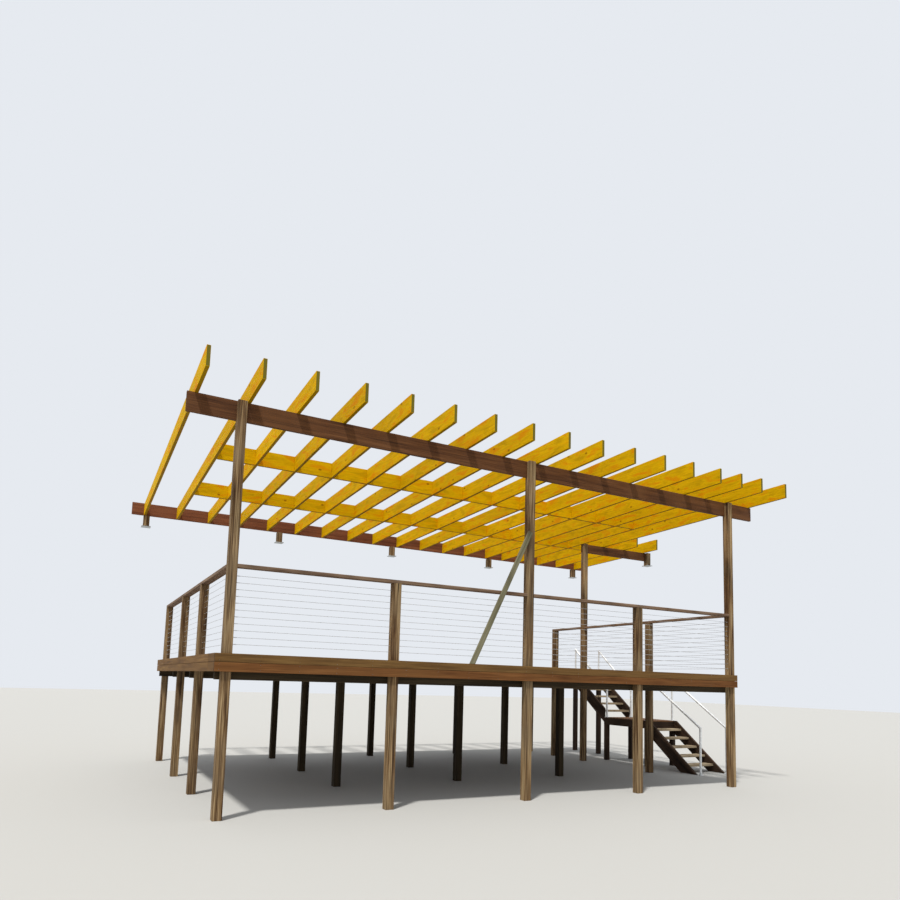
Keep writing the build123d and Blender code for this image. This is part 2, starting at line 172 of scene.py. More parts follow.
def islands(made):
    """The corners of each separate solid in a merged mesh."""
    left = set(made.verts)
    groups = []
    for start in made.verts:
        if start not in left:
            continue
        left.remove(start)
        group = [start]
        for vert in group:
            for edge in vert.link_edges:
                other = edge.other_vert(vert)
                if other in left:
                    left.remove(other)
                    group.append(other)
        groups.append(group)
    return groups


def merged_copy(node):
    """The solids of a CAD node with their loose triangles joined up."""
    made = bmesh.new()
    made.from_mesh(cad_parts[node].data)
    bmesh.ops.remove_doubles(made, verts=made.verts, dist=MERGE_WITHIN)
    return made


def solids_of(node):
    """Lowest and highest corner of each solid in a CAD node, in order of X, then Y, then Z."""
    made = merged_copy(node)
    boxes = []
    for group in islands(made):
        low = Vector([min(v.co[n] for v in group) for n in range(3)])
        high = Vector([max(v.co[n] for v in group) for n in range(3)])
        boxes.append((low, high))
    made.free()
    return sorted(boxes, key=lambda box: [round(c, 3) for c in box[0]])


def new_piece(name, mesh, finish, slot, *nodes):
    """Puts a finished mesh in the scene, on the part's one body, in place of the CAD nodes named."""
    mesh.materials.clear()
    mesh.materials.append(finish)
    piece = bpy.data.objects.new(name, mesh)
    scene.collection.objects.link(piece)
    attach(piece, "root")
    if nodes:
        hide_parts(*nodes)


def planed(node, finish, slot, arris=SAWN_ARRIS):
    """A CAD node's timbers with their sharp edges taken off, each stick marked with a tone of its own."""
    made = merged_copy(node)
    bmesh.ops.dissolve_limit(made, angle_limit=FLAT_BELOW, verts=made.verts, edges=made.edges)
    sharp = [edge for edge in made.edges if edge.calc_face_angle(0) > SHARP_ABOVE]
    bmesh.ops.bevel(made, geom=sharp, offset=arris, segments=1, affect="EDGES", clamp_overlap=True)
    tone = made.verts.layers.float.new("stick")
    draw = random.Random(node)
    for group in islands(made):
        value = draw.random()
        for vert in group:
            vert[tone] = value
    mesh = bpy.data.meshes.new(node + "_timber")
    made.to_mesh(mesh)
    made.free()
    new_piece(node + "_timber", mesh, finish, slot, node)


def sawn_timber(name, along, dark, body, pale, end, grain_mm=7, checks=0.0, lean=(0, 0, 0), rough=0.78,
                weather=None, soft=0.14):
    """Timber with its grain along X, Y or Z: streaks, broad bands, a tone for each stick and end grain."""
    finish, tree = new_finish(name)
    axis = "XYZ".index(along)
    place = add_node(tree, "ShaderNodeTexCoord")
    turned = add_node(tree, "ShaderNodeMapping", {"Vector": place.outputs["Object"], "Rotation": lean})
    stick = add_node(tree, "ShaderNodeAttribute", attribute_name="stick")
    log = add_node(tree, "ShaderNodeVectorMath",
                   {0: stick.outputs["Fac"], 1: LOG_SHIFT, 2: turned.outputs[0]}, operation="MULTIPLY_ADD")
    patterns = []
    for grains_wide, stretch, detail in (STREAKS, BANDS, CHECKS):
        width_m = grain_mm * grains_wide / 1000
        scale = [1 / width_m] * 3
        scale[axis] = 1 / (width_m * stretch)
        fitted = add_node(tree, "ShaderNodeMapping", {"Vector": log.outputs[0], "Scale": scale})
        patterns.append(add_node(tree, "ShaderNodeTexNoise", {
            "Vector": fitted.outputs[0], "Scale": 1, "Detail": detail, "Roughness": 0.6}).outputs["Fac"])
    streaks, bands, splits = patterns
    tone = add_node(tree, "ShaderNodeMix", {0: BAND_SHARE, 2: streaks, 3: bands},
                    data_type="FLOAT").outputs[0]
    to_body = add_node(tree, "ShaderNodeMapRange", {"Value": tone, 1: 0.5 - soft, 2: 0.5}).outputs[0]
    to_pale = add_node(tree, "ShaderNodeMapRange", {"Value": tone, 1: 0.5, 2: 0.52 + soft}).outputs[0]
    colour = add_node(tree, "ShaderNodeMix", {0: to_body, 6: linear(dark), 7: linear(body)},
                      data_type="RGBA").outputs[2]
    colour = add_node(tree, "ShaderNodeMix", {0: to_pale, 6: colour, 7: linear(pale)},
                      data_type="RGBA").outputs[2]
    if weather:
        patch = add_node(tree, "ShaderNodeTexNoise",
                         {"Vector": log.outputs[0], "Scale": 1 / WEATHER_PATCH_M, "Detail": 4})
        worn = add_node(tree, "ShaderNodeMapRange",
                        {"Value": patch.outputs["Fac"], 1: 0.42, 2: 0.72, 4: 0.75})
        colour = add_node(tree, "ShaderNodeMix", {0: worn.outputs[0], 6: colour, 7: linear(weather)},
                          data_type="RGBA").outputs[2]
    split = add_node(tree, "ShaderNodeMapRange", {"Value": splits, 1: 0.70, 2: 0.74, 4: checks}).outputs[0]
    colour = add_node(tree, "ShaderNodeMix", {0: split, 6: colour, 7: linear("#1E1712")},
                      data_type="RGBA").outputs[2]
    value = add_node(tree, "ShaderNodeMapRange",
                     {"Value": stick.outputs["Fac"], 3: STICK_TONES[0], 4: STICK_TONES[1]}).outputs[0]
    colour = add_node(tree, "ShaderNodeHueSaturation", {"Color": colour, "Value": value}).outputs[0]
    facing = add_node(tree, "ShaderNodeNewGeometry")
    facing = add_node(tree, "ShaderNodeSeparateXYZ", {0: facing.outputs["Normal"]}).outputs[axis]
    facing = add_node(tree, "ShaderNodeMath", {0: facing}, operation="ABSOLUTE").outputs[0]
    cut = add_node(tree, "ShaderNodeMath", {0: facing, 1: SQUARE_ON}, operation="GREATER_THAN").outputs[0]
    colour = add_node(tree, "ShaderNodeMix", {0: cut, 6: colour, 7: linear(end)}, data_type="RGBA").outputs[2]
    height = add_node(tree, "ShaderNodeMath", {0: streaks, 1: split}, operation="SUBTRACT").outputs[0]
    bump = add_node(tree, "ShaderNodeBump", {"Height": height, "Strength": 0.5, "Distance": GRAIN_RELIEF})
    dull = add_node(tree, "ShaderNodeMapRange", {"Value": streaks, 3: rough - 0.1, 4: rough + 0.08})
    skin = add_node(tree, "ShaderNodeBsdfPrincipled", {
        "Base Color": colour, "Roughness": dull.outputs[0], "Specular IOR Level": 0.15,
        "Normal": bump.outputs[0]})
    add_node(tree, "ShaderNodeOutputMaterial", {"Surface": skin.outputs[0]})
    return finish


# Rough off the saw and left bare: pale raised streaks on brown, greyer in patches, with dark drying checks
post_timber = sawn_timber("sawn hardwood post", "Z", "#46301D", "#765B3C", "#AE956F", "#5E4933",
                          grain_mm=9, checks=0.8, weather="#7C6B52", soft=0.07)
for node in POST_NODES:
    planed(node, post_timber, "post_hardwood")

# Bearers, joists and stumps: rough framing of treated timber, in the dark under the deck.
# The bearers are fixed behind the posts, the joists sit on them and the stumps stand under their middles.
# Rough off the saw: the olive of treated timber painted down to a dull olive black that shows hardly
# any grain, as painted shade under the deck
frame_painted_shade = {"dark": "#201A11", "body": "#372D1E", "pale": "#4D412E", "end": "#2E261A", "grain_mm": 11}
planed("bearers", sawn_timber("treated bearer in painted shade", "X", **frame_painted_shade), "frame_timber")
planed("joists", sawn_timber("treated joist in painted shade", "Y", **frame_painted_shade), "frame_timber")
planed("inner_stumps", sawn_timber("treated stump in painted shade", "Z", checks=0.5, **frame_painted_shade), "frame_timber")

# Decking: 90 mm hardwood boards laid from left to right with staggered butt joints. The gaps are 4 mm or
# a little more, so that whole boards fill the floor. They are cut round the posts and held by two
# steel screws at every joist.
BOARD_WIDTH = 0.090
BOARD_GAP = 0.004
BOARD_ROUND = 0.003
JOINT_SHARES = (0.38, 0.66)
TONE_SEED = 7
POST_CLEARANCE = 0.003
HOLE_REACH = 0.5
SCREW_EDGE = 0.018
SCREW_CLEARANCE = 0.006
SCREW_SUNK = 0.0012
# The head is sunk just under the board's top, and the square of its drive comes level with it
DECK_SCREW = {"base_radius": 0.0045, "base_depth": 0.001, "head_radius": 0.002, "head_depth": 0.0002,
              "head_sides": 4}


def recipe(name, **inputs):
    """An empty Geometry Nodes tree with named inputs, its input node, and points to work on."""
    tree = bpy.data.node_groups.new(name, "GeometryNodeTree")
    tree.interface.new_socket("Geometry", in_out="OUTPUT", socket_type="NodeSocketGeometry")
    tree.interface.new_socket("Geometry", in_out="INPUT", socket_type="NodeSocketGeometry")
    for label, kind in inputs.items():
        tree.interface.new_socket(label, in_out="INPUT", socket_type="NodeSocket" + kind)
    tree.interface.new_socket("finish", in_out="INPUT", socket_type="NodeSocketMaterial")
    return tree, add_node(tree, "NodeGroupInput")


def end_recipe(tree, given, shape):
    """Makes the instances real, gives them their finish and ends the tree."""
    real = add_node(tree, "GeometryNodeRealizeInstances", {0: shape})
    dressed = add_node(tree, "GeometryNodeSetMaterial",
                       {0: real.outputs[0], "Material": given.outputs["finish"]})
    add_node(tree, "NodeGroupOutput", {0: dressed.outputs[0]})


def cooked(name, tree, points, finish, lengths=None, **sizes):
    """The plain mesh that a recipe makes at the points given."""
    start = bpy.data.meshes.new(name)
    start.from_pydata(points, [], [])
    if lengths:
        start.attributes.new("length", "FLOAT", "POINT").data.foreach_set("value", lengths)
    holder = bpy.data.objects.new(name, start)
    scene.collection.objects.link(holder)
    modifier = holder.modifiers.new("recipe", "NODES")
    modifier.node_group = tree
    sizes["finish"] = finish
    for item in tree.interface.items_tree:
        if item.in_out == "INPUT" and item.name in sizes:
            modifier[item.identifier] = sizes[item.name]
    evaluated = holder.evaluated_get(bpy.context.evaluated_depsgraph_get())
    mesh = bpy.data.meshes.new_from_object(evaluated)
    holder.modifiers.remove(modifier)
    bpy.data.objects.remove(holder)
    return mesh


def joined(name, meshes):
    """Several meshes as one."""
    made = bmesh.new()
    for mesh in meshes:
        made.from_mesh(mesh)
    mesh = bpy.data.meshes.new(name)
    made.to_mesh(mesh)
    made.free()
    return mesh


# One board a point: a rounded section swept along X, at the point's own length, less the post holes
board_tree, given = recipe("deck boards", width="Float", thickness="Float", rounding="Float", holes="Object")
section = add_node(board_tree, "GeometryNodeCurvePrimitiveQuadrilateral",
                   {"Width": given.outputs["width"], "Height": given.outputs["thickness"]})
section = add_node(board_tree, "GeometryNodeFilletCurve",
                   {0: section.outputs[0], "Radius": given.outputs["rounding"], "Count": 2}, mode="POLY")
run = add_node(board_tree, "GeometryNodeCurvePrimitiveLine", {"Start": (-0.5, 0, 0), "End": (0.5, 0, 0)})
board = add_node(board_tree, "GeometryNodeCurveToMesh",
                 {"Curve": run.outputs[0], "Profile Curve": section.outputs[0], "Fill Caps": True})
length = add_node(board_tree, "GeometryNodeInputNamedAttribute", {"Name": "length"}, data_type="FLOAT")
stretch = add_node(board_tree, "ShaderNodeCombineXYZ", {0: length.outputs["Attribute"], 1: 1, 2: 1})
boards = add_node(board_tree, "GeometryNodeInstanceOnPoints", {
    "Points": given.outputs["Geometry"], "Instance": board.outputs[0], "Scale": stretch.outputs[0]})
luck = add_node(board_tree, "FunctionNodeRandomValue", {"Seed": TONE_SEED}, data_type="FLOAT")
boards = add_node(board_tree, "GeometryNodeStoreNamedAttribute",
                  {0: boards.outputs[0], "Name": "stick", "Value": luck.outputs[1]},
                  data_type="FLOAT", domain="INSTANCE")
boards = add_node(board_tree, "GeometryNodeRealizeInstances", {0: boards.outputs[0]})
cutters = add_node(board_tree, "GeometryNodeObjectInfo", {"Object": given.outputs["holes"]})
boards = add_node(board_tree, "GeometryNodeMeshBoolean",
                  {0: boards.outputs[0], 1: cutters.outputs["Geometry"]},
                  operation="DIFFERENCE", solver="MANIFOLD")
end_recipe(board_tree, given, boards.outputs[0])


def block_mesh(name, boxes):
    """Plain blocks between pairs of corners, as one mesh."""
    made = bmesh.new()
    for low, high in boxes:
        middle = (Vector(low) + Vector(high)) / 2
        size = Vector(high) - Vector(low)
        place = Matrix.Translation(middle) @ Matrix.Diagonal((*size, 1))
        bmesh.ops.create_cube(made, size=1, matrix=place)
    mesh = bpy.data.meshes.new(name)
    made.to_mesh(mesh)
    made.free()
    return mesh


def row_lines(low, high):
    """The middle of each row of whole boards on the floor between two corners, the gaps evened out."""
    rows = int((high.y - low.y + BOARD_GAP) / (BOARD_WIDTH + BOARD_GAP))
    pitch = (high.y - low.y - BOARD_WIDTH) / (rows - 1)
    return [low.y + BOARD_WIDTH / 2 + row * pitch for row in range(rows)]


def lay_boards(name, low, high, holes, shares):
    """Boards along X between two corners; a row has one joint, at the next share in turn, if any."""
    points = []
    lengths = []
    for row, y in enumerate(row_lines(low, high)):
        ends = [low.x, high.x]
        if shares:
            ends.insert(1, low.x + (high.x - low.x) * shares[row % len(shares)])
        for left, right in zip(ends, ends[1:]):
            points.append(((left + right) / 2, y, (low.z + high.z) / 2))
            lengths.append(right - left - BOARD_GAP / 2)
    return cooked(name, board_tree, points, deck_timber, lengths, holes=holes,
                  width=BOARD_WIDTH, thickness=high.z - low.z, rounding=BOARD_ROUND)


# Planed, oiled and walked on: red-brown boards that differ in tone from one to the next
deck_timber = sawn_timber("oiled hardwood decking", "X", "#4C3220", "#6A492E", "#856344", "#4E3726",
                          grain_mm=8, weather="#745B43")
deck_low, deck_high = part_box("decking")
post_boxes = []
for node in POST_NODES:
    post_boxes += solids_of(node)
gap = Vector((POST_CLEARANCE, POST_CLEARANCE, HOLE_REACH))
post_holes = bpy.data.objects.new("post_holes", block_mesh("post_holes", [
    (Vector((a.x, a.y, deck_low.z)) - gap, Vector((b.x, b.y, deck_high.z)) + gap) for a, b in post_boxes]))
deck_boards = lay_boards("deck_boards", deck_low, deck_high, post_holes, JOINT_SHARES)
new_piece("deck_boards", deck_boards, deck_timber, "deck_hardwood", "decking")

# One fixing a point: a round base and on it a head with any number of sides, both along Z
ROUND_SIDES = 16
fixing_tree, given = recipe("fixing", base_radius="Float", base_depth="Float", head_radius="Float",
                            head_depth="Float", head_sides="Int", turn="Vector")
base = add_node(fixing_tree, "GeometryNodeMeshCylinder", {
    "Vertices": ROUND_SIDES, "Radius": given.outputs["base_radius"], "Depth": given.outputs["base_depth"]})
head = add_node(fixing_tree, "GeometryNodeMeshCylinder", {
    "Vertices": given.outputs["head_sides"], "Radius": given.outputs["head_radius"],
    "Depth": given.outputs["head_depth"]})
half_base = add_node(fixing_tree, "ShaderNodeMath", {0: given.outputs["base_depth"], 1: 0.5},
                     operation="MULTIPLY")
head_middle = add_node(fixing_tree, "ShaderNodeMath",
                       {0: given.outputs["head_depth"], 1: 0.5, 2: given.outputs["base_depth"]},
                       operation="MULTIPLY_ADD")
up_base = add_node(fixing_tree, "ShaderNodeCombineXYZ", {2: half_base.outputs[0]})
up_head = add_node(fixing_tree, "ShaderNodeCombineXYZ", {2: head_middle.outputs[0]})
base = add_node(fixing_tree, "GeometryNodeTransform",
                {"Geometry": base.outputs[0], "Translation": up_base.outputs[0]})
head = add_node(fixing_tree, "GeometryNodeTransform",
                {"Geometry": head.outputs[0], "Translation": up_head.outputs[0]})
whole = add_node(fixing_tree, "GeometryNodeJoinGeometry", {0: base.outputs[0]})
fixing_tree.links.new(head.outputs[0], whole.inputs[0])
fixings = add_node(fixing_tree, "GeometryNodeInstanceOnPoints", {
    "Points": given.outputs["Geometry"], "Instance": whole.outputs[0], "Rotation": given.outputs["turn"]})
end_recipe(fixing_tree, given, fixings.outputs[0])

# How a fixing turns: its head points to the front, to the back, in from the left or right end, or up
OUT_OF_FRONT = (math.pi / 2, 0, 0)
OUT_OF_BACK = (-math.pi / 2, 0, 0)
OUT_OF_LEFT_END = (0, math.pi / 2, 0)
OUT_OF_RIGHT_END = (0, -math.pi / 2, 0)
OUT_OF_TOP = (0, 0, 0)


def metal(name, bright, dull, patch_mm, rough, metallic=0.9):
    """Bare metal with a soft pattern of brighter and duller patches of a real size."""
    finish, tree = new_finish(name)
    place = add_node(tree, "ShaderNodeTexCoord")
    cells = add_node(tree, "ShaderNodeTexVoronoi",
                     {"Vector": place.outputs["Object"], "Scale": 1000 / patch_mm})
    tone = add_node(tree, "ShaderNodeSeparateColor", {0: cells.outputs["Color"]}).outputs[0]
    colour = add_node(tree, "ShaderNodeMix", {0: tone, 6: linear(dull), 7: linear(bright)}, data_type="RGBA")
    shine = add_node(tree, "ShaderNodeMapRange", {"Value": tone, 3: rough - 0.06, 4: rough + 0.08})
    skin = add_node(tree, "ShaderNodeBsdfPrincipled", {
        "Base Color": colour.outputs[2], "Metallic": metallic, "Roughness": shine.outputs[0]})
    add_node(tree, "ShaderNodeOutputMaterial", {"Surface": skin.outputs[0]})
    return finish


# Drawn bright and left bare, for screws and wires: a clean grey with a soft gleam along it. The marks of
# drawing are too fine to show, so faint patches 20 mm across are drawn in their place.
stainless = metal("drawn stainless steel", "#D6D8D8", "#BFC2C3", 20, 0.3)


def in_a_post(x, y):
    """True where a point in plan lies in a post or too near one for a screw."""
    spare = SCREW_CLEARANCE
    return any(a.x - spare < x < b.x + spare and a.y - spare < y < b.y + spare for a, b in post_boxes)


joist_boxes = solids_of("joists")
joist_lines = sorted({round((a.x + b.x) / 2, 4) for a, b in joist_boxes})
screw_points = []
for row_line in row_lines(deck_low, deck_high):
    for side in (SCREW_EDGE - BOARD_WIDTH / 2, BOARD_WIDTH / 2 - SCREW_EDGE):
        y = row_line + side
        screw_points += [(x, y, deck_high.z - SCREW_SUNK) for x in joist_lines if not in_a_post(x, y)]
deck_screws = cooked("deck_screws", fixing_tree, screw_points, stainless, turn=OUT_OF_TOP, **DECK_SCREW)
new_piece("deck_screws", deck_screws, stainless, "wire_steel")

# Fascia: two 32 mm boards, one above the other, round the front and sides of the deck.
# At the front the upper board is browner and the lower one redder, and screws hold both at every joist.
FASCIA_SCREW_FROM_EDGE = 0.022
# The head is level with the board's face, and the square of its drive stands a hair out of it
FASCIA_SCREW = {"base_radius": 0.004, "base_depth": 0.0008, "head_radius": 0.002, "head_depth": 0.0002,
                "head_sides": 4}
# Planed and oiled: an even brown with fine long streaks. The cut ends are painted nearly black: darker end
# grain, and painted shade in the gaps of the joints
fascia_khaki = sawn_timber("oiled hardwood fascia, brown", "X", "#46331C", "#664A28", "#82653A", "#2E1F12",
                           weather="#6F522D")
fascia_red = sawn_timber("oiled hardwood fascia, red", "X", "#4D2E16", "#6E4624", "#8C5F35", "#2E1F12",
                         weather="#744F2B")
fascia_side = sawn_timber("oiled hardwood fascia, side", "Y", "#4C3419", "#6A4C29", "#87683B", "#2E1F12",
                          weather="#735530")
planed("fascia_front_upper", fascia_khaki, "deck_hardwood")
planed("fascia_front_lower", fascia_red, "deck_hardwood")
planed("fascia_left", fascia_side, "deck_hardwood")
planed("fascia_right", fascia_side, "deck_hardwood")
screw_points = []
for node in ("fascia_front_upper", "fascia_front_lower"):
    low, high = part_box(node)
    for z in (low.z + FASCIA_SCREW_FROM_EDGE, high.z - FASCIA_SCREW_FROM_EDGE):
        screw_points += [(x, low.y + FASCIA_SCREW["base_depth"], z) for x in joist_lines]
fascia_screws = cooked("fascia_screws", fixing_tree, screw_points, stainless, turn=OUT_OF_FRONT,
                       **FASCIA_SCREW)
new_piece("fascia_screws", fascia_screws, stainless, "wire_steel")

# Beams: dark red-brown hardwood on edge, let into the backs of the posts and bolted through them.
# The rear beam stands on short stubs and closes the ends of the rafters.
BOLT_FROM_EDGE = 0.055
# A round washer 40 mm across under a hexagon head
BEAM_BOLT = {"base_radius": 0.02, "base_depth": 0.003, "head_radius": 0.011, "head_depth": 0.01,
             "head_sides": 6}
# Planed and oiled: dark red-brown with a faint sheen and paler brown clouds along it
beam_timber = sawn_timber("oiled hardwood beam", "X", "#371F11", "#5C3A21", "#7C5433", "#3C2415",
                          grain_mm=10, checks=0.3, rough=0.66, weather="#6B4729")
# Planed like the front beam, but redder and paler, and with a duller face
rear_timber = sawn_timber("planed hardwood rear beam", "X", "#55301C", "#7E4A30", "#9F6846", "#4A2B1B",
                          grain_mm=10, checks=0.3, rough=0.72, weather="#8A583B")
planed("front_beam", beam_timber, "beam_hardwood")
planed("side_beam", beam_timber, "beam_hardwood")
planed("rear_beam", rear_timber, "beam_hardwood")
# Dipped in molten zinc: pale grey crystals about 14 mm across, some brighter than their neighbours
zinc = metal("hot-dipped galvanised steel", "#C4C8CA", "#A0A5A8", 14, 0.5)
bolt_points = []
for posts, beam in ((("front_post_left", "front_post_middle", "front_post_right"), "front_beam"),
                    (("side_post", "side_stub"), "side_beam")):
    low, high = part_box(beam)
    for post in posts:
        a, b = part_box(post)
        middle = (a.x + b.x) / 2
        bolt_points += [(middle, high.y, z) for z in (low.z + BOLT_FROM_EDGE, high.z - BOLT_FROM_EDGE)]
beam_bolts = cooked("beam_bolts", fixing_tree, bolt_points, zinc, turn=OUT_OF_BACK, **BEAM_BOLT)
new_piece("beam_bolts", beam_bolts, zinc, "galvanised_steel")

# Rafters: 240 by 45 mm laminated timber, stained bright yellow by its treatment, on top of the front beam.
# The stain is dull, with olive and orange blotches a hand long and a few small knots on the broad faces;
# sawn ends take it darker, and the top and bottom faces are painted darker as painted shade.
ROOF_FALL = math.radians(1.5)

# How long and how wide each pattern's marks are. The real grain is 1 to 2 mm wide, too fine to show from
# the camera, so it is drawn 14 mm wide.
GRAIN_MM = (450, 14)
BLOTCH_MM = (340, 100)
CLOUD_MM = (1400, 330)
KNOT_MM = (400, 240)
# A knot fades out between these shares of that spacing, and this share of the places has no knot
KNOT_FADES = (0.085, 0.045)
KNOTLESS_SHARE = 0.72
PLANED_RELIEF = 0.001
# How strongly the top and bottom faces are painted darker, as painted shade
EDGE_PAINTED_SHADE = 0.8
RAFTER_TONES = (0.93, 1.05)


def per_metre(along_mm, across_mm):
    """The texture scale that gives marks of this length and width."""
    return (1000 / along_mm, 1000 / across_mm, 1)


def laminated(name, along, across, lean):
    """Yellow treated laminated timber with its length along one axis and its depth along another."""
    finish, tree = new_finish(name)
    place = add_node(tree, "ShaderNodeTexCoord")
    turned = add_node(tree, "ShaderNodeMapping", {"Vector": place.outputs["Object"], "Rotation": lean})
    stick = add_node(tree, "ShaderNodeAttribute", attribute_name="stick")
    log = add_node(tree, "ShaderNodeVectorMath",
                   {0: stick.outputs["Fac"], 1: LOG_SHIFT, 2: turned.outputs[0]}, operation="MULTIPLY_ADD")
    parts = add_node(tree, "ShaderNodeSeparateXYZ", {0: log.outputs[0]})
    face = add_node(tree, "ShaderNodeCombineXYZ", {0: parts.outputs[along], 1: parts.outputs[across]})
    grain = add_node(tree, "ShaderNodeMapping", {"Vector": face.outputs[0], "Scale": per_metre(*GRAIN_MM)})
    grain = add_node(tree, "ShaderNodeTexNoise", {"Vector": grain.outputs[0], "Scale": 1, "Detail": 4})
    patch = add_node(tree, "ShaderNodeMapping", {"Vector": face.outputs[0], "Scale": per_metre(*BLOTCH_MM)})
    patch = add_node(tree, "ShaderNodeTexNoise", {"Vector": patch.outputs[0], "Scale": 1, "Detail": 3,
                                                  "Roughness": 0.55, "Distortion": 0.6})
    broad = add_node(tree, "ShaderNodeMapping", {"Vector": face.outputs[0], "Scale": per_metre(*CLOUD_MM)})
    broad = add_node(tree, "ShaderNodeTexNoise", {"Vector": broad.outputs[0], "Scale": 1, "Detail": 2})
    knot = add_node(tree, "ShaderNodeMapping", {"Vector": face.outputs[0], "Scale": per_metre(*KNOT_MM)})
    knot = add_node(tree, "ShaderNodeTexVoronoi", {"Vector": knot.outputs[0], "Scale": 1},
                    voronoi_dimensions="2D")
    base = add_node(tree, "ShaderNodeMix",
                    {0: broad.outputs["Fac"], 6: linear("#C69C00"), 7: linear("#F0BF00")},
                    data_type="RGBA").outputs[2]
    lines = add_node(tree, "ShaderNodeMapRange", {"Value": grain.outputs["Fac"], 1: 0.42, 2: 0.7, 4: 0.5})
    base = add_node(tree, "ShaderNodeMix", {0: lines.outputs[0], 6: base, 7: linear("#AC8400")},
                    data_type="RGBA").outputs[2]
    olive = add_node(tree, "ShaderNodeMapRange", {"Value": patch.outputs["Fac"], 1: 0.48, 2: 0.33, 4: 0.4})
    base = add_node(tree, "ShaderNodeMix", {0: olive.outputs[0], 6: base, 7: linear("#9C7A00")},
                    data_type="RGBA").outputs[2]
    stain = add_node(tree, "ShaderNodeMapRange", {"Value": patch.outputs["Fac"], 1: 0.52, 2: 0.66, 4: 0.75})
    base = add_node(tree, "ShaderNodeMix", {0: stain.outputs[0], 6: base, 7: linear("#D68400")},
                    data_type="RGBA").outputs[2]
    dot = add_node(tree, "ShaderNodeMapRange",
                   {"Value": knot.outputs["Distance"], 1: KNOT_FADES[0], 2: KNOT_FADES[1], 4: 0.7})
    chance = add_node(tree, "ShaderNodeSeparateColor", {0: knot.outputs["Color"]}).outputs[0]
    chance = add_node(tree, "ShaderNodeMath", {0: chance, 1: KNOTLESS_SHARE},
                      operation="GREATER_THAN").outputs[0]
    dot = add_node(tree, "ShaderNodeMath", {0: dot.outputs[0], 1: chance}, operation="MULTIPLY").outputs[0]
    base = add_node(tree, "ShaderNodeMix", {0: dot, 6: base, 7: linear("#7C4A04")},
                    data_type="RGBA").outputs[2]
    facing = add_node(tree, "ShaderNodeNewGeometry")
    facing = add_node(tree, "ShaderNodeSeparateXYZ", {0: facing.outputs["Normal"]})
    square_to = []
    for axis in (along, across):
        size = add_node(tree, "ShaderNodeMath", {0: facing.outputs[axis]}, operation="ABSOLUTE").outputs[0]
        square_to.append(add_node(tree, "ShaderNodeMath", {0: size, 1: SQUARE_ON},
                                  operation="GREATER_THAN").outputs[0])
    sawn_end, long_edge = square_to
    # Painted shade: the top and bottom faces are painted a darker olive brown
    edge = add_node(tree, "ShaderNodeMath", {0: long_edge, 1: EDGE_PAINTED_SHADE}, operation="MULTIPLY").outputs[0]
    base = add_node(tree, "ShaderNodeMix", {0: edge, 6: base, 7: linear("#7C620A")},
                    data_type="RGBA").outputs[2]
    base = add_node(tree, "ShaderNodeMix", {0: sawn_end, 6: base, 7: linear("#706726")},
                    data_type="RGBA").outputs[2]
    value = add_node(tree, "ShaderNodeMapRange",
                     {"Value": stick.outputs["Fac"], 3: RAFTER_TONES[0], 4: RAFTER_TONES[1]}).outputs[0]
    base = add_node(tree, "ShaderNodeHueSaturation", {"Color": base, "Value": value}).outputs[0]
    bump = add_node(tree, "ShaderNodeBump",
                    {"Height": grain.outputs["Fac"], "Strength": 0.3, "Distance": PLANED_RELIEF})
    skin = add_node(tree, "ShaderNodeBsdfPrincipled", {
        "Base Color": base, "Roughness": 0.7, "Specular IOR Level": 0.05, "Normal": bump.outputs[0]})
    add_node(tree, "ShaderNodeOutputMaterial", {"Surface": skin.outputs[0]})
    return finish


rafter_timber = laminated("yellow laminated rafter", 1, 2, (-ROOF_FALL, 0, 0))
RAFTER_NODES = [name for name in sorted(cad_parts) if name.startswith("rafters_")] + ["short_rafters"]
for node in RAFTER_NODES:
    planed(node, rafter_timber, "laminated_yellow")

# Blocking: short lengths of the same laminated timber, cut tight between the rafters in two rows.
# The end bays are left open in both rows.
blocking_timber = laminated("yellow laminated blocking", 0, 2, (0, 0, 0))
planed("blocking_front_row", blocking_timber, "laminated_yellow")
planed("blocking_rear_row", blocking_timber, "laminated_yellow")

# Handrails: flat hardwood 42 mm thick, laid over the short posts and between the tall ones.
# Both top edges are taken off along the whole length.
RAIL_ARRIS = 0.0015
# Planed and dulled by the weather: a greyer brown than the fascia, with pale streaks
rail_grain = {"dark": "#4E3A2D", "body": "#755E4B", "pale": "#937C66", "end": "#4A382B", "weather": "#7B6755"}
rail_x = sawn_timber("oiled hardwood handrail", "X", **rail_grain)
rail_y = sawn_timber("oiled hardwood side handrail", "Y", **rail_grain)
planed("handrail_front", rail_x, "deck_hardwood", RAIL_ARRIS)
planed("handrail_left", rail_y, "deck_hardwood", RAIL_ARRIS)
planed("handrail_right", rail_y, "deck_hardwood", RAIL_ARRIS)

# Wires: eleven 5 mm stainless wires strung tight through holes in the posts, on three sides.
# A round washer and a pressed sleeve end each one on the inner face of the last post of its run.
WIRE_COUNT = 11
WIRE_DIAMETER = 0.005
WIRE_SIDES = 8
# A washer 16 mm across, and out of it a sleeve 9 mm thick and 45 mm long
WIRE_END = {"base_radius": 0.008, "base_depth": 0.002, "head_radius": 0.0045, "head_depth": 0.045,
            "head_sides": 10}

# A bay's wires: one round wire from post to post, repeated down the bay
wire_tree, given = recipe("strung wires", start="Vector", end="Vector", radius="Float")
line = add_node(wire_tree, "GeometryNodeCurvePrimitiveLine",
                {"Start": given.outputs["start"], "End": given.outputs["end"]})
ring = add_node(wire_tree, "GeometryNodeCurvePrimitiveCircle",
                {"Resolution": WIRE_SIDES, "Radius": given.outputs["radius"]})
wire = add_node(wire_tree, "GeometryNodeCurveToMesh",
                {"Curve": line.outputs[0], "Profile Curve": ring.outputs[0], "Fill Caps": True})
strung = add_node(wire_tree, "GeometryNodeInstanceOnPoints",
                  {"Points": given.outputs["Geometry"], "Instance": wire.outputs[0]})
end_recipe(wire_tree, given, strung.outputs[0])


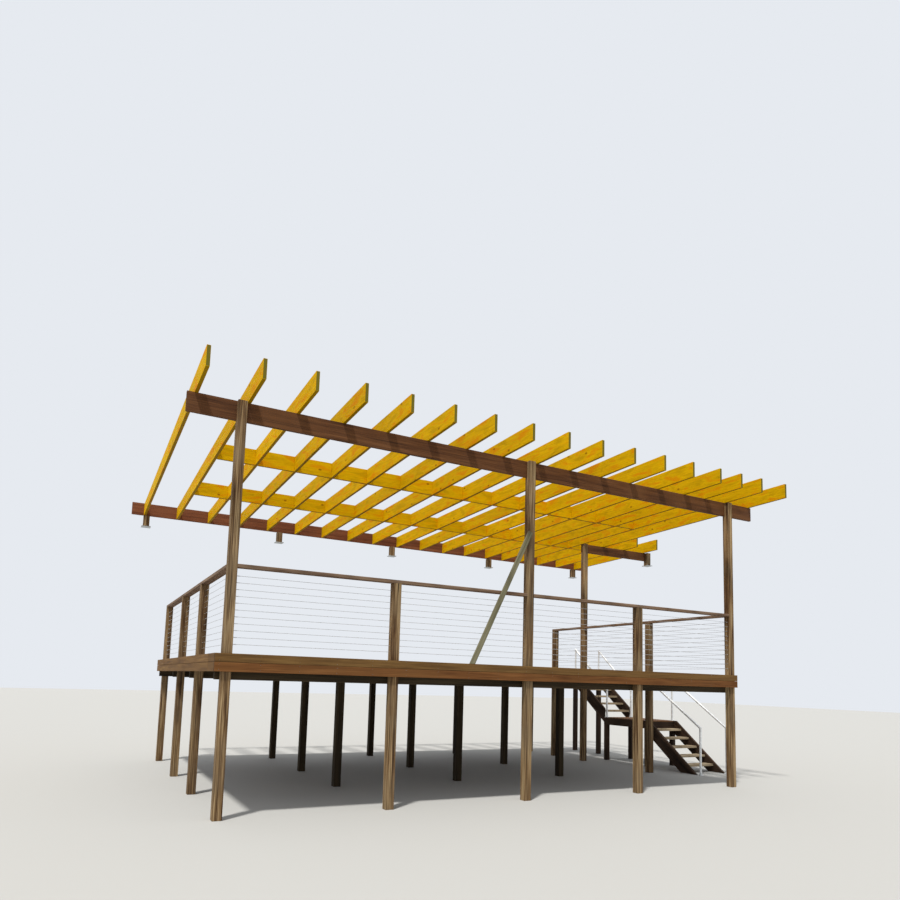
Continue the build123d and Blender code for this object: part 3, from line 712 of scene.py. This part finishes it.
def strung_run(node, posts, axis, forwards, backwards):
    """Wires from post to post at the heights of the CAD wires, with fittings at both ends of the run."""
    low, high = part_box(node)
    pitch = (high.z - low.z - WIRE_DIAMETER) / (WIRE_COUNT - 1)
    heights = [high.z - WIRE_DIAMETER / 2 - n * pitch for n in range(WIRE_COUNT)]
    line = (low + high) / 2
    line.z = 0
    meshes = []
    for (_, near), (far, _) in zip(posts, posts[1:]):
        start = line.copy()
        end = line.copy()
        start[axis] = near[axis]
        end[axis] = far[axis]
        meshes.append(cooked(node, wire_tree, [(0, 0, z) for z in heights], stainless, start=start, end=end,
                             radius=WIRE_DIAMETER / 2))
    for turn, place in ((forwards, posts[0][1][axis]), (backwards, posts[-1][0][axis])):
        line[axis] = place
        meshes.append(cooked(node, fixing_tree, [(line.x, line.y, z) for z in heights], stainless,
                             turn=turn, **WIRE_END))
    new_piece(node + "_strung", joined(node + "_strung", meshes), stainless, "wire_steel", node)


front_line = []
for node in ("front_post_left", "rail_post_left", "front_post_middle", "rail_post_right", "front_post_right"):
    front_line += solids_of(node)
left_line = solids_of("front_post_left") + solids_of("left_posts")
side_line = solids_of("right_posts")
right_line = solids_of("front_post_right") + [side_line[0]] + solids_of("side_post") + [side_line[1]]
strung_run("wires_front", front_line, 0, OUT_OF_LEFT_END, OUT_OF_RIGHT_END)
strung_run("wires_left", left_line, 1, OUT_OF_BACK, OUT_OF_FRONT)
strung_run("wires_right", right_line, 1, OUT_OF_BACK, OUT_OF_FRONT)

# Brace: a temporary diagonal of grey weathered pine that steadies the middle post.
# It lies against the post at the top and stands on the deck's edge at the foot.
low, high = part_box("brace")
BRACE_LEAN = math.atan2(high.x - low.x, high.z - low.z)
# Sawn and left out in the weather: grey-green with fine pale streaks, and fresh pale wood at the cut ends
brace_pine = sawn_timber("weathered pine brace", "Z", "#504D3A", "#726E55", "#938E76", "#B8A67C",
                         grain_mm=6, lean=(0, -BRACE_LEAN, 0), weather="#807B63")
planed("brace", brace_pine, "brace_pine")

# Stubs and plates: short lengths of the posts' timber that carry the rear and side beams, each on a
# square steel plate with four screws down through its corners.
PLATE_SCREW_INSET = 0.016
# A round washer 22 mm across under a hexagon head
PLATE_SCREW = {"base_radius": 0.011, "base_depth": 0.002, "head_radius": 0.007, "head_depth": 0.006,
               "head_sides": 6}
planed("side_stub", post_timber, "post_hardwood")
planed("rear_stubs", post_timber, "post_hardwood")
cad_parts["stub_plates"].data.materials[0] = zinc
screw_points = []
for a, b in solids_of("stub_plates"):
    for x in (a.x + PLATE_SCREW_INSET, b.x - PLATE_SCREW_INSET):
        for y in (a.y + PLATE_SCREW_INSET, b.y - PLATE_SCREW_INSET):
            screw_points.append((x, y, b.z))
plate_screws = cooked("plate_screws", fixing_tree, screw_points, zinc, turn=OUT_OF_TOP, **PLATE_SCREW)
new_piece("plate_screws", plate_screws, zinc, "galvanised_steel")

# Stair: open hardwood treads housed between dark strings, a landing half-way down and a head platform.
# Both floors are boarded like the deck, on dark framing and 90 mm posts.
STAIR_RISE = 0.156
STAIR_GOING = 0.205
STAIR_SLOPE = math.atan2(STAIR_RISE, STAIR_GOING)
# Sawn and stained nearly black, with the brown of the wood just showing through
dark_grain = {"dark": "#1F1712", "body": "#3A2B20", "pale": "#544132", "end": "#33271E", "grain_mm": 10}
string_timber = sawn_timber("dark stained string", "Y", lean=(-STAIR_SLOPE, 0, 0), **dark_grain)
planed("stair_strings", string_timber, "stair_timber")
planed("stair_posts", sawn_timber("dark stained stair post", "Z", **dark_grain), "stair_timber")
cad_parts["stair_frames"].data.materials[0] = sawn_timber("dark stained stair frame", "X", **dark_grain)
# Planed and left bare: pale sandy grey that stands out from the strings
tread_timber = sawn_timber("worn hardwood tread", "X", "#7A6A54", "#A39277", "#C4B79E", "#7C6B54", grain_mm=8)
planed("stair_treads", tread_timber, "deck_hardwood")
floors = []
for a, b in solids_of("stair_decks"):
    floors.append(lay_boards("stair_floor", a, b, post_holes, ()))
new_piece("stair_floor_boards", joined("stair_floor_boards", floors), deck_timber, "deck_hardwood",
          "stair_decks")

# Tube handrails: 42 mm galvanised tube, one run a side that follows the flights.
# It is joined to its stanchions by ball fittings, and each stanchion stands on a round flange.
FLANGE = {"base_radius": 0.05, "base_depth": 0.006, "head_radius": 0.027, "head_depth": 0.03,
          "head_sides": ROUND_SIDES}
# Galvanised smooth and dulled by the weather: pale zinc painted nearly white as painted sunlight, with
# faint soft patches
tube_zinc = metal("galvanised tube painted sunlit", "#FAFBFB", "#E4E7E8", 40, 0.5, 0.35)
for node in ("stair_stanchions", "stair_tubes"):
    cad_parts[node].data.materials[0] = tube_zinc
feet = [((a.x + b.x) / 2, (a.y + b.y) / 2, a.z) for a, b in solids_of("stair_stanchions")]
flanges = cooked("stanchion_flanges", fixing_tree, feet, tube_zinc, turn=OUT_OF_TOP, **FLANGE)
new_piece("stanchion_flanges", flanges, tube_zinc, "galvanised_steel")

bpy.data.objects.remove(post_holes)
